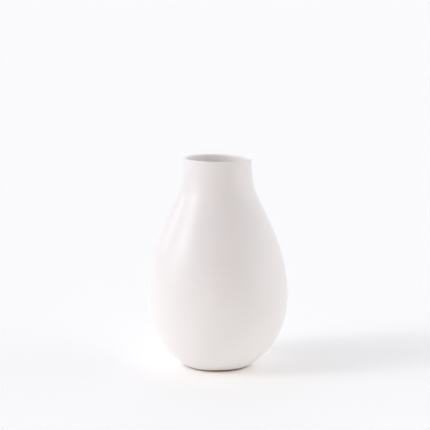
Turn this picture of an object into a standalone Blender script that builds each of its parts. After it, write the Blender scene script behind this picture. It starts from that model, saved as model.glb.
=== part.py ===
"""Ceramic bud vase: a round belly on a small foot, drawn up into a short open neck.

The vase is a turned shell of brown clay. One coat of white glaze covers its outside, the lip and the
first few millimetres inside the neck. A second coat lines the inside, and a third covers the base
within the foot ring. Four felt pads under the base lift the foot ring just clear of the table.

The frame: +Z runs up the turning axis, and the origin is where that axis meets the table. Lengths are
in metres, and MM turns the millimetres of the dimensions below into them.
"""

import math
from collections import namedtuple

import bmesh
import bpy
from mathutils import Vector
from mathutils.geometry import interpolate_bezier

MM = 0.001

# A station of a turned outline: its radius and height in mm, the angle of the outline there in
# degrees (0 runs outwards, 90 straight up), and how far the curve keeps to that angle on each side.
Station = namedtuple("Station", "radius height angle reach_below reach_above")

# The glazed outside, from the foot to just under the rounded lip.
GLAZE_LINE = Station(26.4, 1.4, 30.0, 0.0, 10.4)
BELLY = Station(55.5, 57.0, 90.0, 34.8, 24.7)
SHOULDER = Station(44.25, 107.6, 113.5, 5.3, 26.7)
NECK_ROOT = Station(27.85, 147.7, 98.5, 12.2, 5.0)
LIP = Station(26.65, 163.8, 90.0, 4.7, 0.0)
OUTSIDE = (GLAZE_LINE, BELLY, SHOULDER, NECK_ROOT, LIP)
OUTSIDE_STEPS = (6, 5, 4, 4)  # points on each stretch between two stations

LIP_THICKNESS = 2.4  # glaze to glaze
BODY_WALL = 4.0  # glaze to glaze, below the shoulder
WALL_FULL_HEIGHT = 118.0  # below this height the wall has its whole thickness
LIP_STEPS = 6  # points over the half-round lip

COAT = 0.35  # thickness of each glaze
COAT_GAP = 0.3  # clearance between neighbouring solids
UNDER_COAT = COAT + COAT_GAP

FLOOR_HEIGHT = 7.6  # glazed floor inside, on the axis
FLOOR_REACH = 21.0  # how far the floor runs level before it turns up
BOWL_START = 17.0  # outside height from which the inside follows the outside
BOWL_REACH = 8.5
FLOOR_STEPS = 6

LIP_COAT_END = 161.6  # the outer glaze ends here inside the neck
LINER_TOP = LIP_COAT_END - COAT_GAP

PAD_THICKNESS = 1.8
PAD_RADIUS = 5.0
PAD_CIRCLE_RADIUS = 15.0
PAD_COUNT = 4
PAD_FIRST_ANGLE = 45.0
PAD_EDGE = 0.2
PAD_SEGMENTS = 32

BASE_COAT_BOTTOM = PAD_THICKNESS + COAT_GAP
RECESS_CEILING = BASE_COAT_BOTTOM + COAT + COAT_GAP
BASE_COAT_RADIUS = 20.2
FOOT_HEIGHT = 0.3  # the foot ring stands this far off the table
FOOT_OUTER = 25.3
FOOT_INNER = 21.5
FOOT_EDGE = 0.5  # radius of the ring's worn edges
EDGE_STEPS = 3

TURN_SEGMENTS = 40
SHARP_ANGLE = 35.0

# Base colour (linear), roughness
FINISHES = {
    "bare_clay": ((0.25, 0.13, 0.075), 0.85),
    "white_glaze": ((0.82, 0.80, 0.785), 0.34),
    "liner_glaze": ((0.88, 0.86, 0.85), 0.22),
    "base_glaze": ((0.81, 0.79, 0.775), 0.35),
    "felt": ((0.115, 0.078, 0.055), 0.95),
}


def direction(angle):
    return Vector((math.cos(math.radians(angle)), math.sin(math.radians(angle))))


def curve(start, end, steps):
    """Points from one station to the next, leaving out the last."""
    first, last = Vector((start.radius, start.height)), Vector((end.radius, end.height))
    points = interpolate_bezier(
        first,
        first + direction(start.angle) * start.reach_above,
        last - direction(end.angle) * end.reach_below,
        last,
        steps + 1,
    )
    return points[:-1]


def outside():
    """The outer outline from the glaze line up to the lip."""
    points = []
    for start, end, steps in zip(OUTSIDE, OUTSIDE[1:], OUTSIDE_STEPS):
        points += curve(start, end, steps)
    return points + [Vector((LIP.radius, LIP.height))]


def inward(points, first_angle, last_angle):
    """Unit vectors square to an upward outline, pointing into the wall."""
    tangents = [direction(first_angle)]
    for before, after in zip(points, points[2:]):
        tangents.append((after - before).normalized())
    tangents.append(direction(last_angle))
    return [Vector((-along.y, along.x)) for along in tangents]


def wall_thickness(height):
    """Thin at the lip, growing smoothly to the full wall below the shoulder."""
    part = (LIP.height - height) / (LIP.height - WALL_FULL_HEIGHT)
    part = min(max(part, 0.0), 1.0)
    return LIP_THICKNESS + (BODY_WALL - LIP_THICKNESS) * part * part * (3 - 2 * part)


def under(points, depth):
    """The outside outline moved into the wall by depth."""
    normals = inward(points, GLAZE_LINE.angle, LIP.angle)
    return [point + normal * depth for point, normal in zip(points, normals)]


def inside(depth=0.0):
    """The inside outline from the axis at the floor up to the lip, moved into the wall by depth."""
    points = outside()
    normals = inward(points, GLAZE_LINE.angle, LIP.angle)
    wall = []
    for point, normal in zip(points, normals):
        if point.y > BOWL_START:
            wall.append(point + normal * (wall_thickness(point.y) - depth))
    rise = wall[1] - wall[0]
    floor = Station(0.0, FLOOR_HEIGHT - depth, 0.0, 0.0, FLOOR_REACH)
    bowl = Station(wall[0].x, wall[0].y, math.degrees(math.atan2(rise.y, rise.x)), BOWL_REACH, 0.0)
    return curve(floor, bowl, FLOOR_STEPS) + wall


def lip_arc(radius):
    """Points over the lip from its outer side to its inner side, leaving out both ends."""
    centre = Vector((LIP.radius - LIP_THICKNESS / 2, LIP.height))
    turn = 180 / LIP_STEPS
    return [centre + direction(turn * step) * radius for step in range(1, LIP_STEPS)]


def rounded_corner(centre, radius, first_angle, last_angle):
    turn = (last_angle - first_angle) / EDGE_STEPS
    return [centre + direction(first_angle + turn * step) * radius for step in range(EDGE_STEPS + 1)]


def cut_at_height(points, height, keep_above):
    """The part of an upward outline on one side of a height, with a point at the cut."""
    kept = []
    for start, end in zip(points, points[1:]):
        if start.y < height <= end.y:
            crossing = start.lerp(end, (height - start.y) / (end.y - start.y))
            above = [point for point in points if point.y > height]
            below = [point for point in points if point.y < height]
            kept = [crossing] + above if keep_above else below + [crossing]
    return kept


def finish(name):
    colour, roughness = FINISHES[name]
    material = bpy.data.materials.new(name)
    material.use_nodes = True
    shader = material.node_tree.nodes["Principled BSDF"]
    shader.inputs["Base Color"].default_value = (*colour, 1.0)
    shader.inputs["Roughness"].default_value = roughness
    shader.inputs["Metallic"].default_value = 0.0
    material.diffuse_color = (*colour, 1.0)
    return material


def add_object(name, mesh, material, collection, parent):
    piece = bpy.data.objects.new(name, mesh)
    if not mesh.materials:
        mesh.materials.append(material)
    piece.parent = parent
    collection.objects.link(piece)
    return piece


def turned(name, outline, is_ring, material, collection, parent):
    """A solid of revolution. The outline runs down its outer side and up its inner side; a ring's
    outline closes on itself, and any other begins and ends on the axis."""
    mesh = bpy.data.meshes.new(name)
    points = [(point.x * MM, 0.0, point.y * MM) for point in outline]
    edges = [(index, index + 1) for index in range(len(points) - 1)]
    if is_ring:
        edges.append((len(points) - 1, 0))
    mesh.from_pydata(points, edges, [])
    piece = add_object(name, mesh, material, collection, parent)
    lathe = piece.modifiers.new("Lathe", "SCREW")
    lathe.axis = "Z"
    lathe.angle = math.tau
    lathe.steps = TURN_SEGMENTS
    lathe.render_steps = TURN_SEGMENTS
    lathe.use_smooth_shade = True
    lathe.use_merge_vertices = True
    lathe.merge_threshold = 0.00001
    return piece


def clay_body(collection, parent):
    """The shell: under the outer glaze, over the lip, down the inside, and back along the foot."""
    outer = under(outside(), UNDER_COAT)
    inner = inside(UNDER_COAT)
    lip = lip_arc(LIP_THICKNESS / 2 - UNDER_COAT)
    outer_corner = Vector((FOOT_OUTER - FOOT_EDGE, FOOT_HEIGHT + FOOT_EDGE))
    inner_corner = Vector((FOOT_INNER + FOOT_EDGE, FOOT_HEIGHT + FOOT_EDGE))
    recess_corner = Vector((FOOT_INNER - FOOT_EDGE, RECESS_CEILING - FOOT_EDGE))
    foot = rounded_corner(outer_corner, FOOT_EDGE, 0, -90)
    foot += rounded_corner(inner_corner, FOOT_EDGE, -90, -180)
    foot += rounded_corner(recess_corner, FOOT_EDGE, 0, 90)
    foot.append(Vector((0.0, RECESS_CEILING)))
    outline = inner + lip[::-1] + outer[::-1] + foot
    return turned("clay_body", outline, False, finish("bare_clay"), collection, parent)


def outer_glaze(collection, parent):
    """A coat from the glaze line near the foot, over the lip, to its end just inside the neck."""
    skin = outside()
    back = under(skin, COAT)
    skin_inside = cut_at_height(inside(), LIP_COAT_END, True)
    back_inside = cut_at_height(inside(COAT), LIP_COAT_END, True)
    lip_skin = lip_arc(LIP_THICKNESS / 2)
    lip_back = lip_arc(LIP_THICKNESS / 2 - COAT)
    outline = skin_inside + lip_skin[::-1] + skin[::-1]
    outline += back + lip_back + back_inside[::-1]
    return turned("outer_glaze", outline, True, finish("white_glaze"), collection, parent)


def inner_glaze(collection, parent):
    """The liner: a cup of glaze from the floor up to the end of the outer coat."""
    skin = cut_at_height(inside(), LINER_TOP, False)
    back = cut_at_height(inside(COAT), LINER_TOP, False)
    outline = skin + back[::-1]
    return turned("inner_glaze", outline, False, finish("liner_glaze"), collection, parent)


def base_glaze(collection, parent):
    """The coat on the base, within the foot ring."""
    bottom, top = BASE_COAT_BOTTOM, BASE_COAT_BOTTOM + COAT
    outline = [
        Vector((0.0, top)),
        Vector((BASE_COAT_RADIUS, top)),
        Vector((BASE_COAT_RADIUS, bottom)),
        Vector((0.0, bottom)),
    ]
    return turned("base_glaze", outline, False, finish("base_glaze"), collection, parent)


def foot_pads(collection, parent):
    """Felt discs on the base, spaced evenly on one circle."""
    mesh = bpy.data.meshes.new("foot_pad")
    shape = bmesh.new()
    bmesh.ops.create_cone(
        shape,
        cap_ends=True,
        segments=PAD_SEGMENTS,
        radius1=PAD_RADIUS * MM,
        radius2=PAD_RADIUS * MM,
        depth=PAD_THICKNESS * MM,
    )
    shape.to_mesh(mesh)
    shape.free()
    felt = finish("felt")
    for index in range(PAD_COUNT):
        place = direction(PAD_FIRST_ANGLE + 360 * index / PAD_COUNT) * PAD_CIRCLE_RADIUS * MM
        pad = add_object(f"foot_pad_{index + 1}", mesh, felt, collection, parent)
        pad.location = (place.x, place.y, PAD_THICKNESS / 2 * MM)
        edge = pad.modifiers.new("Worn edge", "BEVEL")
        edge.width = PAD_EDGE * MM
        edge.segments = 1
        edge.limit_method = "ANGLE"
        edge.angle_limit = math.radians(SHARP_ANGLE)
    mesh.shade_smooth()
    mesh.set_sharp_from_angle(angle=math.radians(SHARP_ANGLE))


def main():
    for old in list(bpy.data.objects):
        bpy.data.objects.remove(old, do_unlink=True)
    collection = bpy.data.collections.new("bud_vase")
    bpy.context.scene.collection.children.link(collection)
    axis = bpy.data.objects.new("turning_axis", None)
    collection.objects.link(axis)
    clay_body(collection, axis)
    outer_glaze(collection, axis)
    inner_glaze(collection, axis)
    base_glaze(collection, axis)
    foot_pads(collection, axis)


main()
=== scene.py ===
"""Looks for the ceramic bud vase: fine glaze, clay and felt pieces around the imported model.

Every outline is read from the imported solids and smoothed, so the pieces follow the CAD. Lengths are
in metres, and MM turns the millimetres below into them. +Z runs up the turning axis, and the camera
looks along +Y.
"""

import math
from collections import defaultdict

import bpy
import numpy as np
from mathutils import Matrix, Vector, noise


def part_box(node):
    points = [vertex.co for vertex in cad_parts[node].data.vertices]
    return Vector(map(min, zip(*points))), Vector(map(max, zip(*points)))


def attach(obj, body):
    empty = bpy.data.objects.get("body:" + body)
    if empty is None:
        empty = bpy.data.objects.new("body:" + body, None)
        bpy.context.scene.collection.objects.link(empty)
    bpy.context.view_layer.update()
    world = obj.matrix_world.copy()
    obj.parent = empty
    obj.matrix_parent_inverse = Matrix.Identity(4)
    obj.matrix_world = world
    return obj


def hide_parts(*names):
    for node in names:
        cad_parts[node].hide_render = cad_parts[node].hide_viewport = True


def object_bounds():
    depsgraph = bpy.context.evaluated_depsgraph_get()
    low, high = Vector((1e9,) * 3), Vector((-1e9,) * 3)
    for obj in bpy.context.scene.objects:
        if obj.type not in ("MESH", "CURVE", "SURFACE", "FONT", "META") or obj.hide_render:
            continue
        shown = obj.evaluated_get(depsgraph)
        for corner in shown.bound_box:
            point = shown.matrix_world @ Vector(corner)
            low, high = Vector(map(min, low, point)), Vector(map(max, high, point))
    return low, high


MM = 0.001
TAU = math.tau

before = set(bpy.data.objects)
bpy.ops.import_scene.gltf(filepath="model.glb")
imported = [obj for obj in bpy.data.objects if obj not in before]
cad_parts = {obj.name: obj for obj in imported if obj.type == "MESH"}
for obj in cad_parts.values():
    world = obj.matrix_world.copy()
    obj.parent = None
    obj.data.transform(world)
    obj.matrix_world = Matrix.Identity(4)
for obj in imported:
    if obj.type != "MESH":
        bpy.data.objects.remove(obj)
cad_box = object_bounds()
TOP = cad_box[1].z

# Camera: a long lens, a little to the left of the vase and looking slightly down
CAMERA_PLACE = (-1.84 * MM, -1072 * MM, 295.1 * MM)
CAMERA_PITCH = 9.28  # degrees below level
LENS = 116.0
SENSOR = 36.0
CLIP_START, CLIP_END = 0.05, 200.0

# Fineness of the turned pieces
TURN_STEPS = 288
WALL_POINTS = 130
LINER_POINTS = 110
LIP_POINTS = 20
NECK_POINTS = 12
BEAD_POINTS = 8
CORNER_POINTS = 7

# How the drawn pieces nest: a coat reaches deeper than the clay's surface, so that no slit shows
COAT_DEPTH = 0.45 * MM
CLAY_DEPTH = 0.38 * MM
LAP = 1.2 * MM  # how far the outer coat and the liner run past each other inside the neck
LAP_SINK = 0.10 * MM  # how deep each has sunk under the other by its end
GLAZE_LINE_ANGLE = 30.0  # degrees, the way the coat leaves its lower edge
FOOT_EDGE = 0.5 * MM

MOUTH_EDGE = 25.4 * MM  # the crest of the lip, from the axis
LIP_LEAN = 1.0  # degrees, lower towards +X
GLAZE_LINE_PEAK = -79.0  # azimuth in degrees where the glaze line is highest, and -90 is the front
GLAZE_LINE_RISE, GLAZE_LINE_DROP = 0.62, 0.28  # millimetres, up at the peak and down all round
GLAZE_LINE_NARROW = 9  # the higher, the narrower the rise at the peak
BARE_HEIGHT = 3 * MM  # the clay is rough below this

# Colours, linear
# The neck colours are painted shade: the same white glaze made darker on the upper vase, where less
# light falls
SHADED_NECK_LOW, SHADED_NECK_HIGH = (0.775, 0.745, 0.732), (0.800, 0.772, 0.760)
BELLY_LOW, BELLY_HIGH = (0.862, 0.838, 0.818), (0.885, 0.862, 0.845)
THIN_GLAZE = (0.62, 0.50, 0.40)
LINER_LOW, LINER_HIGH = (0.92, 0.898, 0.882), (0.945, 0.928, 0.914)
IRON = (0.10, 0.055, 0.032)
CLAY_DARK, CLAY_LIGHT = (0.16, 0.075, 0.036), (0.28, 0.138, 0.072)
GROG = (0.42, 0.30, 0.20)
FELT_DARK, FELT_LIGHT, FELT_PALE = (0.075, 0.050, 0.035), (0.16, 0.112, 0.080), (0.24, 0.18, 0.13)
FILM_LOW, FILM_HIGH = (0.55, 0.50, 0.40), (0.66, 0.62, 0.52)


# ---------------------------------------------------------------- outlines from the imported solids


def outline_graph(node):
    """Each point of a turned node's outline, which lies at azimuth zero, with its neighbours."""
    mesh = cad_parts[node].data
    spot = {}
    for vertex in mesh.vertices:
        x, y, z = vertex.co
        if abs(y) < 1e-7 and x > -1e-7:
            spot[vertex.index] = (round(x, 6), round(z, 6))
    neighbours = defaultdict(set)
    for edge in mesh.edges:
        one, other = (spot.get(index) for index in edge.vertices)
        if one and other and one != other:
            neighbours[one].add(other)
            neighbours[other].add(one)
    return neighbours


def walk(neighbours, start):
    """The outline from start, away from the axis, for as long as there is one way on."""
    path = [start, max(neighbours[start])]
    while True:
        ahead = [point for point in neighbours[path[-1]] if point not in path]
        if len(ahead) != 1:
            return np.array(path)
        path.append(ahead[0])


def outer_skin():
    """The outer coat's surface from the glaze line, over the lip, to its end inside the neck."""
    neighbours = outline_graph("outer_glaze")
    path = walk(neighbours, min(neighbours, key=lambda point: point[1]))
    crest = int(np.argmax(path[:, 1]))
    falling = np.diff(path[crest:, 1]) < -1e-6
    end = crest + (len(falling) if falling.all() else int(np.argmin(falling)))
    return path[: end + 1]


def liner_skin():
    """The liner's surface from the axis at the floor up to its top edge."""
    neighbours = outline_graph("inner_glaze")
    on_axis = [point for point in neighbours if point[0] < 1e-6]
    path = walk(neighbours, max(on_axis, key=lambda point: point[1]))
    return path[: int(np.argmax(path[:, 1])) + 1]


def foot_sizes():
    """The foot ring's inner and outer radius, its height, and that of the ceiling inside it."""
    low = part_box("clay_body")[0].z
    points = [point for point in outline_graph("clay_body") if point[1] < low + BARE_HEIGHT]
    ring = [radius for radius, height in points if height < low + 1e-5]
    inner, outer = min(ring), max(ring)
    ceiling = max(height for radius, height in points if radius < inner)
    return inner, outer, low, ceiling


# ---------------------------------------------------------------- curves


def spline(knots, count, first_way=None, last_way=None):
    """Even points on a smooth cubic through the knots, setting off and arriving a given way."""
    knots = np.asarray(knots, float)
    steps = np.sqrt(np.linalg.norm(np.diff(knots, axis=0), axis=1))
    at = np.concatenate([[0.0], np.cumsum(steps)])
    chords = np.diff(knots, axis=0) / steps[:, None]
    size = len(knots)
    matrix, right = np.eye(size), np.zeros((size, 2))
    for row in range(1, size - 1):
        before, after = steps[row - 1], steps[row]
        matrix[row, row - 1 : row + 2] = after, 2 * (before + after), before
        right[row] = 3 * (after * chords[row - 1] + before * chords[row])
    for row, near, way in ((0, 1, first_way), (-1, -2, last_way)):
        if way is None:
            matrix[row, row], matrix[row, near] = 2, 1
            right[row] = 3 * chords[row]
        else:
            right[row] = np.asarray(way) * np.linalg.norm(chords[row])
    slopes = np.linalg.solve(matrix, right)
    fine = np.linspace(0, at[-1], 40 * size)
    span = np.clip(np.searchsorted(at, fine, side="right") - 1, 0, size - 2)
    step = steps[span][:, None]
    part = ((fine - at[span]) / steps[span])[:, None]
    rest = 1 - part
    curve = rest**2 * (1 + 2 * part) * knots[span] + part**2 * (1 + 2 * rest) * knots[span + 1]
    curve += part * rest * step * (rest * slopes[span] - part * slopes[span + 1])
    return evenly(curve, count)


def evenly(line, count):
    """A polyline resampled to count points an equal way apart."""
    line = np.asarray(line, float)
    run = np.concatenate([[0.0], np.cumsum(np.linalg.norm(np.diff(line, axis=0), axis=1))])
    even = np.linspace(0, run[-1], count)
    return np.stack([np.interp(even, run, line[:, axis]) for axis in (0, 1)], axis=1)


def thinned(line):
    """Every third point of a line, with both its ends, for a face that nothing shows."""
    return line[np.linspace(0, len(line) - 1, len(line) // 3).round().astype(int)]


def moved_left(line, distance):
    """A line moved to its own left."""
    along = np.gradient(line, axis=0)
    along /= np.linalg.norm(along, axis=1, keepdims=True)
    return line + distance * np.stack([-along[:, 1], along[:, 0]], axis=1)


def arc(centre, radius, first, last, count=CORNER_POINTS):
    """Points on a circle from one angle to another, in degrees."""
    angles = np.radians(np.linspace(first, last, count))
    return np.array(centre) + radius * np.stack([np.cos(angles), np.sin(angles)], axis=1)


def round_end(start, end):
    """A half circle from start round to end, bulging to the right of that way."""
    middle, reach = (start + end) / 2, (start - end) / 2
    across = np.array([reach[1], -reach[0]])
    angles = np.linspace(0, math.pi, BEAD_POINTS + 2)[1:-1, None]
    return middle + reach * np.cos(angles) - across * np.sin(angles)


def smooth_step(value, low, high):
    part = np.clip((value - low) / (high - low), 0, 1)
    return part * part * (3 - 2 * part)


# ---------------------------------------------------------------- turned meshes


def turned(outline, form, steps=TURN_STEPS):
    """Vertices and faces of an outline turned round the axis, walked with its solid on the left.
    An outline that begins and ends on the axis is closed there, and any other closes on itself.
    form turns azimuth, radius and height into x, y and z."""
    on_axis = outline[0, 0] < 1e-9 and outline[-1, 0] < 1e-9
    ring = outline[1:-1] if on_axis else outline
    count = len(ring)
    azimuth = np.repeat(np.linspace(0, TAU, steps, endpoint=False), count)
    points = np.stack(form(azimuth, *np.tile(ring, (steps, 1)).T), axis=1)
    starts = [(turn * count, (turn + 1) % steps * count) for turn in range(steps)]
    faces = []
    for here, ahead in starts:
        for step in range(count - 1 if on_axis else count):
            after = (step + 1) % count
            faces.append((here + step, ahead + step, ahead + after, here + after))
    if on_axis:
        ends = (np.zeros(2), outline[[0, -1], 0], outline[[0, -1], 1])
        points = np.vstack([points, np.stack(form(*ends), axis=1)])
        first, final = len(points) - 2, len(points) - 1
        for here, ahead in starts:
            faces.append((first, ahead, here))
            faces.append((final, here + count - 1, ahead + count - 1))
    return points, faces


def add_piece(name, points, faces, material, replaced):
    mesh = bpy.data.meshes.new(name)
    mesh.from_pydata([tuple(point) for point in points], [], faces)
    mesh.materials.append(material)
    mesh.shade_smooth()
    piece = bpy.data.objects.new(name, mesh)
    bpy.context.scene.collection.objects.link(piece)
    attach(piece, "root")
    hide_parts(replaced)
    return piece


def rough_noise(x, y, z, size):
    """Smooth noise from -1 to 1 with features of one size, for each point."""
    spots = np.stack([x, y, z], axis=1) / size
    return np.array([noise.noise(Vector(spot)) for spot in spots])


def vase_form(azimuth, radius, height):
    """The turned form made a little uneven, as a real one is: about a tenth of a millimetre out of
    round, with a lip that leans."""
    share = height / TOP
    swell = 0.10 * np.sin(2 * azimuth + 0.7 + 2.2 * share) * smooth_step(share, 0.0, 0.3)
    swell += 0.05 * np.sin(3 * azimuth + 2.1 - 4.0 * share)
    swell += 0.03 * np.sin(5 * azimuth + 0.4 + 9.0 * share)
    radius = radius + swell * MM * np.clip(radius / (10 * MM), 0, 1)
    x, y = radius * np.cos(azimuth), radius * np.sin(azimuth)
    lean = math.tan(math.radians(LIP_LEAN)) * smooth_step(share, 0.86, 1.0)
    return x, y, height - x * lean


def glaze_line_lift(azimuth, height):
    """How far a wiped glaze line wanders up and down. The surface above follows it less and less."""
    toward_peak = 0.5 + 0.5 * np.cos(azimuth - math.radians(GLAZE_LINE_PEAK))
    lift = GLAZE_LINE_RISE * toward_peak**GLAZE_LINE_NARROW - GLAZE_LINE_DROP
    lift = lift + 0.04 * np.sin(7 * azimuth) + 0.03 * np.sin(13 * azimuth + 2)
    return lift * MM * (1 - smooth_step(height, 2 * MM, 7 * MM))


def coat_form(azimuth, radius, height):
    """The vase's form with a lower edge that wanders."""
    return vase_form(azimuth, radius, height + glaze_line_lift(azimuth, height))


def liner_form(azimuth, radius, height):
    """The vase's form with the soft spiral ridge that fingers leave inside."""
    fade = smooth_step(height, 0.1 * TOP, 0.2 * TOP) * (1 - smooth_step(height, 0.7 * TOP, 0.85 * TOP))
    ridge = 0.14 * np.sin(TAU * height / (6 * MM) - azimuth)
    return vase_form(azimuth, radius + ridge * MM * fade, height)


def clay_form(azimuth, radius, height):
    """The vase's form with the tool's rings and the grain of bare clay on and inside the foot. Outside
    the foot ring it follows the glaze line, so that it stays under the coat."""
    outer = foot_sizes()[1] + FOOT_EDGE
    outside = smooth_step(radius, outer, outer + 0.6 * MM)
    lift = glaze_line_lift(azimuth, height) * outside
    x, y, z = vase_form(azimuth, radius, height + lift)
    bare = np.flatnonzero(height < BARE_HEIGHT)
    grain = 0.035 * rough_noise(x[bare], y[bare], z[bare], 0.5 * MM)
    grain += 0.05 * rough_noise(x[bare], y[bare], z[bare], 1.6 * MM)
    rings = 0.02 * np.sin(TAU * radius[bare] / (0.85 * MM))
    z[bare] += (grain + rings) * MM
    push = 1 + 0.6 * grain * MM / np.maximum(radius[bare], MM)
    x[bare] *= push
    y[bare] *= push
    return x, y, z


def base_coat_form(azimuth, radius, height):
    """A poured puddle of glaze: its face is slow waves, and its edge wanders."""
    x, y = radius * np.cos(azimuth), radius * np.sin(azimuth)
    wander = 0.12 * np.sin(3 * azimuth + 0.9) + 0.08 * np.sin(8 * azimuth) + 0.05 * np.sin(17 * azimuth)
    reach = 1 + wander * MM * smooth_step(radius, 15 * MM, 20 * MM) / np.maximum(radius, MM)
    waves = 0.03 * np.sin(x / (2.6 * MM) + 1) * np.sin(y / (3.1 * MM))
    return x * reach, y * reach, height + waves * MM


# ---------------------------------------------------------------- pieces of the vase


def lip_ends(skin):
    """Where the half-round lip starts and ends on the skin."""
    crest = int(np.argmax(skin[:, 1]))
    sideways = skin[:crest, 0] - skin[crest, 0]
    downwards = skin[crest, 1] - skin[:crest, 1]
    start = int(np.argmin(np.abs(sideways - downwards)))
    end = crest + int(np.argmin(np.abs(skin[crest:, 1] - skin[start, 1])))
    return start, end


def outer_face():
    """The outer coat's surface, fine and smooth, from the glaze line to its end inside the neck."""
    skin = outer_skin()
    start, end = lip_ends(skin)
    angle = math.radians(GLAZE_LINE_ANGLE)
    wall = spline(skin[: start + 1], WALL_POINTS, (math.cos(angle), math.sin(angle)), (0, 1))
    lip = arc((skin[start] + skin[end]) / 2, (skin[start, 0] - skin[end, 0]) / 2, 0, 180, LIP_POINTS)
    sunk = skin[-1] + (LAP_SINK, -LAP)
    neck = spline(np.vstack([skin[end:], sunk]), NECK_POINTS, (0, -1))
    return np.vstack([wall[:-1], lip[:-1], neck])


def liner_face():
    """The liner's surface from the floor up to its edge, which sinks under the outer coat."""
    skin = liner_skin()
    sunk = skin[-1] + (LAP_SINK, LAP)
    return spline(np.vstack([skin, sunk]), LINER_POINTS, (1, 0))


def add_outer_coat(material):
    face = outer_face()
    back = thinned(moved_left(face, COAT_DEPTH)[::-1])
    outline = np.vstack([face, round_end(face[-1], back[0]), back, round_end(back[-1], face[0])])
    points, faces = turned(outline, coat_form)
    return add_piece("glaze_outer_coat", points, faces, material, "outer_glaze")


def add_liner(material):
    face = liner_face()
    back = thinned(moved_left(face, -COAT_DEPTH))
    back[0, 0] = 0.0
    outline = np.vstack([back, round_end(back[-1], face[-1]), face[::-1]])
    points, faces = turned(outline, liner_form)
    return add_piece("glaze_liner", points, faces, material, "inner_glaze")


def add_clay(material):
    inner, outer, low, ceiling = foot_sizes()
    edge = FOOT_EDGE
    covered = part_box("base_glaze")[1].x - 1 * MM
    hidden = evenly([(0, ceiling), (covered, ceiling)], 8)
    recess = evenly([(covered, ceiling), (inner - 2 * edge, ceiling)], 9)
    fillet = arc((inner - 2 * edge, ceiling - edge), edge, 90, 0)
    ring_inside = arc((inner, low + edge), edge, 180, 270)
    ring = evenly([(inner, low), (outer, low)], 16)
    ring_outside = arc((outer, low + edge), edge, -90, 0)
    shell = thinned(moved_left(outer_face(), CLAY_DEPTH)[:-NECK_POINTS])
    lining = moved_left(liner_face(), -CLAY_DEPTH)[::-1]
    lining[-1, 0] = 0.0
    lining = thinned(lining[lining[:, 1] < shell[-1, 1] - LAP])
    flank = evenly([ring_outside[-1], shell[0]], 6)
    foot = [hidden[:-1], recess, fillet[1:], ring_inside, ring[1:-1], ring_outside, flank[1:-1]]
    points, faces = turned(np.vstack(foot + [shell, lining]), clay_form)
    return add_piece("stoneware_body", points, faces, material, "clay_body")


def add_base_coat(material):
    (_, _, low), (reach, _, high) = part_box("base_glaze")
    ceiling = foot_sizes()[3]
    bulge = 0.08 * MM
    face = [(0, low + bulge), (0.8 * reach, low + bulge), (0.93 * reach, low)]
    edge = [(reach, low + 0.15 * MM), (reach + 0.1 * MM, high), (reach + 0.05 * MM, ceiling + bulge)]
    face = spline(np.array(face + edge), 60, (1, 0))
    back = evenly([face[-1], (0, ceiling + bulge)], 12)
    points, faces = turned(np.vstack([face, back[1:]]), base_coat_form)
    return add_piece("glaze_base_coat", points, faces, material, "base_glaze")


def pad_form(azimuth, radius, height):
    """Pressed felt: a fuzzy face and side, flat where it is stuck."""
    x, y = radius * np.cos(azimuth), radius * np.sin(azimuth)
    fuzz = 0.07 * rough_noise(x, y, height, 0.28 * MM) + 0.06 * rough_noise(x, y, height, 0.9 * MM)
    out = 1 + fuzz * MM / np.maximum(radius, 2 * MM)
    return x * out, y * out, height + np.abs(fuzz) * MM * (height < 0.3 * MM)


def add_pad(index, felt, film):
    node = f"foot_pad_{index}"
    low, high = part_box(node)
    middle = (low + high) / 2
    radius, thick = (high.x - low.x) / 2, high.z - low.z
    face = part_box("base_glaze")[0].z
    edge = 0.25 * MM
    under = evenly([(0, 0), (radius - edge, 0)], 26)
    corner = arc((radius - edge, edge), edge, -90, 0)
    side = evenly([(radius, edge), (radius, thick)], 9)
    top = evenly([(radius, thick), (radius - edge, thick)], 3)
    tape = evenly([(radius - edge, thick + 0.02 * MM), (radius - edge, face + 0.12 * MM)], 4)
    lid = evenly([tape[-1], (0, tape[-1][1])], 8)
    outline = np.vstack([under, corner[1:], side[1:], top[1:], tape, lid[1:]])
    points, faces = turned(outline, pad_form, 96)
    pad = add_piece(f"felt_pad_{index}", points, faces, felt, node)
    pad.data.materials.append(film)
    for polygon in pad.data.polygons:
        polygon.material_index = int(polygon.center.z > thick + 0.01 * MM)
    pad.location = (middle.x, middle.y, low.z)
    return pad


# ---------------------------------------------------------------- materials


def new_material(name, roughness):
    """A Principled material, its shader, and its coordinates in metres."""
    material = bpy.data.materials.new(name)
    material.use_nodes = True
    shader = material.node_tree.nodes["Principled BSDF"]
    shader.inputs["Roughness"].default_value = roughness
    coordinates = material.node_tree.nodes.new("ShaderNodeTexCoord").outputs["Object"]
    return material, shader, coordinates


def add_node(material, kind, inputs, **settings):
    """A node with its settings, and its inputs given as values or as sockets to link."""
    node = material.node_tree.nodes.new(kind)
    for name, value in settings.items():
        setattr(node, name, value)
    for name, value in inputs.items():
        if isinstance(value, bpy.types.NodeSocket):
            material.node_tree.links.new(value, node.inputs[name])
        else:
            node.inputs[name].default_value = value
    return node


def noise_field(material, coordinates, feature, detail=2.0, low=0.0, high=1.0, ramp=(0.3, 0.7)):
    """Noise with features of a size in metres, spread from low to high."""
    made = add_node(
        material,
        "ShaderNodeTexNoise",
        {"Vector": coordinates, "Scale": 1 / feature, "Detail": detail, "Roughness": 0.55},
    )
    return spread(material, made.outputs["Fac"], *ramp, low, high)


def spread(material, value, from_low, from_high, to_low, to_high):
    inputs = {
        "Value": value,
        "From Min": from_low,
        "From Max": from_high,
        "To Min": to_low,
        "To Max": to_high,
    }
    return add_node(material, "ShaderNodeMapRange", inputs).outputs["Result"]


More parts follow.
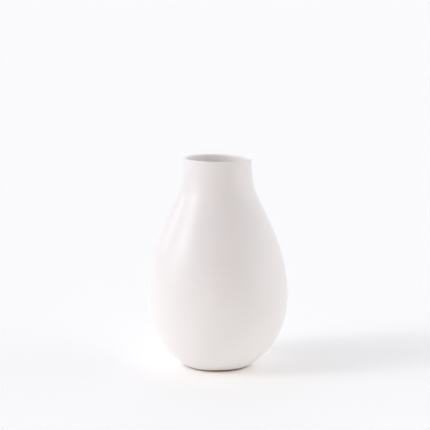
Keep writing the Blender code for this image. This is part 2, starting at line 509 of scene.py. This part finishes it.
def blended(material, factor, first, second):
    """Two colours mixed by a factor; either may be a socket."""
    mix = material.node_tree.nodes.new("ShaderNodeMix")
    mix.data_type = "RGBA"
    material.node_tree.links.new(factor, mix.inputs["Factor"])
    for socket, colour in ((mix.inputs[6], first), (mix.inputs[7], second)):
        if isinstance(colour, bpy.types.NodeSocket):
            material.node_tree.links.new(colour, socket)
        else:
            socket.default_value = (*colour, 1.0)
    return mix.outputs[2]


def times(material, one, other):
    inputs = {0: one, 1: other}
    return add_node(material, "ShaderNodeMath", inputs, operation="MULTIPLY").outputs[0]


def height_of(material, coordinates):
    return add_node(material, "ShaderNodeSeparateXYZ", {"Vector": coordinates}).outputs["Z"]


def distance_from_axis(material, coordinates):
    inputs = {0: coordinates, 1: (1, 1, 0)}
    flat = add_node(material, "ShaderNodeVectorMath", inputs, operation="MULTIPLY").outputs["Vector"]
    return add_node(material, "ShaderNodeVectorMath", {0: flat}, operation="LENGTH").outputs["Value"]


def bumped(material, shader, *layers):
    """Stacked bumps, each a height socket from 0 to 1 and its depth in metres."""
    normal = None
    for height, depth in layers:
        inputs = {"Height": height, "Distance": depth, "Strength": 1.0}
        if normal:
            inputs["Normal"] = normal
        normal = add_node(material, "ShaderNodeBump", inputs).outputs["Normal"]
    material.node_tree.links.new(normal, shader.inputs["Normal"])


def connect(material, value, socket):
    material.node_tree.links.new(value, socket)


def outer_glaze_material():
    """Satin white glaze: clouded a little, darker towards the top with painted shade on the neck and
    shoulder and lighter on the lower belly, whiter inside the neck, warmer where it is thin over the
    lip and at its lower edge, with rare faint specks of iron and orange peel."""
    material, shader, spot = new_material("white_satin_glaze", 0.36)
    cloud = noise_field(material, spot, 34 * MM, 3)
    height = height_of(material, spot)
    # Painted shade: the glaze goes from the darker neck colour at the top to the lighter belly colour
    # lower down
    painted_shade_by_height = spread(material, height, 0.72 * TOP, 0.12 * TOP, 0.0, 1.0)
    neck = blended(material, cloud, SHADED_NECK_LOW, SHADED_NECK_HIGH)
    belly = blended(material, cloud, BELLY_LOW, BELLY_HIGH)
    colour = blended(material, painted_shade_by_height, neck, belly)
    radius = distance_from_axis(material, spot)
    inside = spread(material, radius, MOUTH_EDGE, MOUTH_EDGE - 1 * MM, 0.0, 1.0)
    at_neck = spread(material, height, 0.9 * TOP, 0.92 * TOP, 0.0, 1.0)
    colour = blended(material, times(material, inside, at_neck), colour, LINER_HIGH)
    lip = spread(material, height, TOP - 0.9 * MM, TOP + 0.2 * MM, 0.0, 0.12)
    patchy = noise_field(material, spot, 5 * MM, 3)
    colour = blended(material, times(material, lip, patchy), colour, THIN_GLAZE)
    foot = spread(material, height, 3.2 * MM, 1.2 * MM, 0.0, 0.45)
    colour = blended(material, times(material, foot, patchy), colour, THIN_GLAZE)
    speck = noise_field(material, spot, 0.8 * MM, 0, 0.0, 0.08, (0.82, 0.86))
    colour = blended(material, speck, colour, IRON)
    connect(material, colour, shader.inputs["Base Color"])
    satin = noise_field(material, spot, 12 * MM, 3, 0.33, 0.39)
    connect(material, satin, shader.inputs["Roughness"])
    peel = noise_field(material, spot, 2.2 * MM, 2)
    matt = noise_field(material, spot, 0.35 * MM, 2)
    bumped(material, shader, (peel, 0.006 * MM), (matt, 0.0015 * MM))
    return material


def liner_material():
    """Clearer, glossier glaze, clouded a little, with faint pinholes of iron."""
    material, shader, spot = new_material("gloss_liner_glaze", 0.22)
    cloud = noise_field(material, spot, 22 * MM, 3)
    colour = blended(material, cloud, LINER_LOW, LINER_HIGH)
    pinhole = noise_field(material, spot, 0.6 * MM, 0, 0.0, 0.35, (0.80, 0.83))
    colour = blended(material, pinhole, colour, IRON)
    connect(material, colour, shader.inputs["Base Color"])
    connect(material, noise_field(material, spot, 9 * MM, 2, 0.17, 0.27), shader.inputs["Roughness"])
    peel = noise_field(material, spot, 3 * MM, 2)
    bumped(material, shader, (peel, 0.008 * MM))
    return material


def base_glaze_material():
    material, shader, spot = new_material("base_satin_glaze", 0.33)
    cloud = noise_field(material, spot, 9 * MM, 3)
    colour = blended(material, cloud, BELLY_LOW, BELLY_HIGH)
    edge = add_node(material, "ShaderNodeVectorMath", {0: spot}, operation="LENGTH").outputs["Value"]
    thin = spread(material, edge, 18.5 * MM, 20.5 * MM, 0.0, 0.8)
    colour = blended(material, thin, colour, THIN_GLAZE)
    speck = noise_field(material, spot, 0.7 * MM, 0, 0.0, 0.5, (0.76, 0.80))
    colour = blended(material, speck, colour, IRON)
    connect(material, colour, shader.inputs["Base Color"])
    connect(material, noise_field(material, spot, 6 * MM, 2, 0.27, 0.4), shader.inputs["Roughness"])
    bumped(material, shader, (noise_field(material, spot, 1.8 * MM, 2), 0.012 * MM))
    return material


def clay_material():
    """Fired brown stoneware: toasted patches, pale and dark grog, and roughness that varies in patches.
    """
    material, shader, spot = new_material("bare_brown_clay", 0.85)
    toast = noise_field(material, spot, 7 * MM, 4)
    colour = blended(material, toast, CLAY_DARK, CLAY_LIGHT)
    pale = noise_field(material, spot, 0.5 * MM, 1, 0.0, 0.6, (0.66, 0.72))
    colour = blended(material, pale, colour, GROG)
    dark = noise_field(material, spot, 0.33 * MM, 1, 0.0, 0.7, (0.68, 0.74))
    colour = blended(material, dark, colour, IRON)
    connect(material, colour, shader.inputs["Base Color"])
    rub = noise_field(material, spot, 1.5 * MM, 3, 0.72, 0.92)
    connect(material, rub, shader.inputs["Roughness"])
    sand = noise_field(material, spot, 0.3 * MM, 3)
    pits = noise_field(material, spot, 0.9 * MM, 2)
    bumped(material, shader, (pits, 0.03 * MM), (sand, 0.02 * MM))
    return material


def felt_material():
    """Pressed wool: mottled fibres, matt, with a soft sheen."""
    material, shader, spot = new_material("brown_felt", 0.95)
    stretched = add_node(material, "ShaderNodeMapping", {"Vector": spot, "Scale": (1, 1, 4)})
    fibre = noise_field(material, stretched.outputs["Vector"], 0.25 * MM, 4)
    mottle = noise_field(material, spot, 1.4 * MM, 2)
    colour = blended(material, fibre, FELT_DARK, FELT_LIGHT)
    colour = blended(material, times(material, mottle, 0.35), colour, FELT_PALE)
    connect(material, colour, shader.inputs["Base Color"])
    shader.inputs["Sheen Weight"].default_value = 0.35
    shader.inputs["Sheen Roughness"].default_value = 0.6
    bumped(material, shader, (mottle, 0.06 * MM), (fibre, 0.05 * MM))
    return material


def film_material():
    material, shader, spot = new_material("adhesive_film", 0.3)
    smear = noise_field(material, spot, 1.2 * MM, 2)
    connect(material, blended(material, smear, FILM_LOW, FILM_HIGH), shader.inputs["Base Color"])
    connect(material, noise_field(material, spot, 0.8 * MM, 2, 0.2, 0.4), shader.inputs["Roughness"])
    return material


# ---------------------------------------------------------------- studio


def add_floor():
    far = FLOOR_REACH
    corners = [(-far, -far, 0), (far, -far, 0), (far, far, 0), (-far, far, 0)]
    mesh = bpy.data.meshes.new("studio_floor")
    mesh.from_pydata(corners, [], [(0, 1, 2, 3)])
    material, shader, _ = new_material("studio_white", 0.8)
    shader.inputs["Base Color"].default_value = (*FLOOR_WHITE, 1)
    shader.inputs["Specular IOR Level"].default_value = 0.0
    shader.inputs["Emission Color"].default_value = (*FLOOR_GLOW, 1)
    shader.inputs["Emission Strength"].default_value = 1.0
    mesh.materials.append(material)
    floor = bpy.data.objects.new("studio_floor", mesh)
    bpy.context.scene.collection.objects.link(floor)


def add_camera():
    data = bpy.data.cameras.new("camera")
    data.lens = LENS
    data.sensor_width = SENSOR
    data.clip_start, data.clip_end = CLIP_START, CLIP_END
    camera = bpy.data.objects.new("camera", data)
    bpy.context.scene.collection.objects.link(camera)
    camera.location = CAMERA_PLACE
    camera.rotation_euler = (math.radians(90 - CAMERA_PITCH), 0, 0)
    bpy.context.scene.camera = camera


# Where light comes from, in degrees: azimuth, with 0 at the camera and 90 to its right, and elevation.
# A wall is soft and wide, and has a colour
WALLS = {
    "front": (0, 5, (0.40, 0.20, 0.11)),
    "left_front": (-45, 5, (0.52, 0.58, 0.64)),
    "left_above": (-90, 55, (0.70, 0.74, 0.80)),
    "back": (180, 10, (1.45, 1.43, 1.52)),
    "right": (90, 5, (2.10, 2.16, 2.20)),
}
WALL_FALLOFF = 3  # power of the cosine of the angle from the wall's middle
# A sun lamp for each part of the window has a width in degrees and a strength
WINDOW = {
    "whole_window": (-77, 25, 45, 0.80),
    "near_pane": (-74, 27, 14, 0.47),
    "far_pane": (-119, 17, 12, 0.20),
}
WINDOW_COLOUR = (1.0, 0.985, 1.0)
BACKDROP = (0.985, 0.980, 0.990)
FLOOR_REACH = 60.0  # metres each way
FLOOR_WHITE = (0.9, 0.9, 0.9)
FLOOR_GLOW = (0.135, 0.129, 0.120)  # the same all over, as on a light table


def toward(azimuth, elevation):
    turn, rise = math.radians(azimuth), math.radians(elevation)
    level = math.cos(rise)
    return Vector((math.sin(turn) * level, -math.cos(turn) * level, math.sin(rise)))


def wall_light(world, way, azimuth, elevation, colour):
    """Light that is strongest from one direction and falls off smoothly round it."""
    axis = toward(azimuth, elevation)
    facing = add_node(world, "ShaderNodeVectorMath", {0: way, 1: axis}, operation="DOT_PRODUCT")
    inputs = {0: facing.outputs["Value"], 1: 0.0}
    ahead = add_node(world, "ShaderNodeMath", inputs, operation="MAXIMUM")
    inputs = {0: ahead.outputs[0], 1: WALL_FALLOFF}
    soft = add_node(world, "ShaderNodeMath", inputs, operation="POWER")
    inputs = {0: colour, "Scale": soft.outputs[0]}
    return add_node(world, "ShaderNodeVectorMath", inputs, operation="SCALE").outputs["Vector"]


def add_world():
    """Pale walls all round, which the camera sees as one even backdrop."""
    world = bpy.data.worlds.new("studio")
    bpy.context.scene.world = world
    world.use_nodes = True
    tree = world.node_tree
    spot = add_node(world, "ShaderNodeTexCoord", {}).outputs["Generated"]
    way = add_node(world, "ShaderNodeVectorMath", {0: spot}, operation="NORMALIZE").outputs["Vector"]
    total = None
    for azimuth, elevation, colour in WALLS.values():
        light = wall_light(world, way, azimuth, elevation, colour)
        if total:
            inputs = {0: total, 1: light}
            light = add_node(world, "ShaderNodeVectorMath", inputs, operation="ADD").outputs["Vector"]
        total = light
    lit = tree.nodes["Background"]
    tree.links.new(total, lit.inputs["Color"])
    seen = add_node(world, "ShaderNodeBackground", {"Color": (*BACKDROP, 1)})
    by_camera = add_node(world, "ShaderNodeLightPath", {}).outputs["Is Camera Ray"]
    inputs = {"Fac": by_camera, 1: lit.outputs[0], 2: seen.outputs[0]}
    both = add_node(world, "ShaderNodeMixShader", inputs)
    tree.links.new(both.outputs[0], tree.nodes["World Output"].inputs["Surface"])


def add_window():
    for name, (azimuth, elevation, width, strength) in WINDOW.items():
        data = bpy.data.lights.new(name, "SUN")
        data.energy = strength
        data.color = WINDOW_COLOUR
        data.angle = math.radians(width)
        pane = bpy.data.objects.new(name, data)
        bpy.context.scene.collection.objects.link(pane)
        pane.rotation_mode = "QUATERNION"
        pane.rotation_quaternion = toward(azimuth, elevation).to_track_quat("Z", "Y")


def main():
    add_floor()
    add_outer_coat(outer_glaze_material())
    add_liner(liner_material())
    add_clay(clay_material())
    add_base_coat(base_glaze_material())
    felt, film = felt_material(), film_material()
    for index in range(1, 5):
        add_pad(index, felt, film)
    add_camera()
    add_world()
    add_window()
    bpy.context.scene.view_settings.view_transform = "Standard"


main()
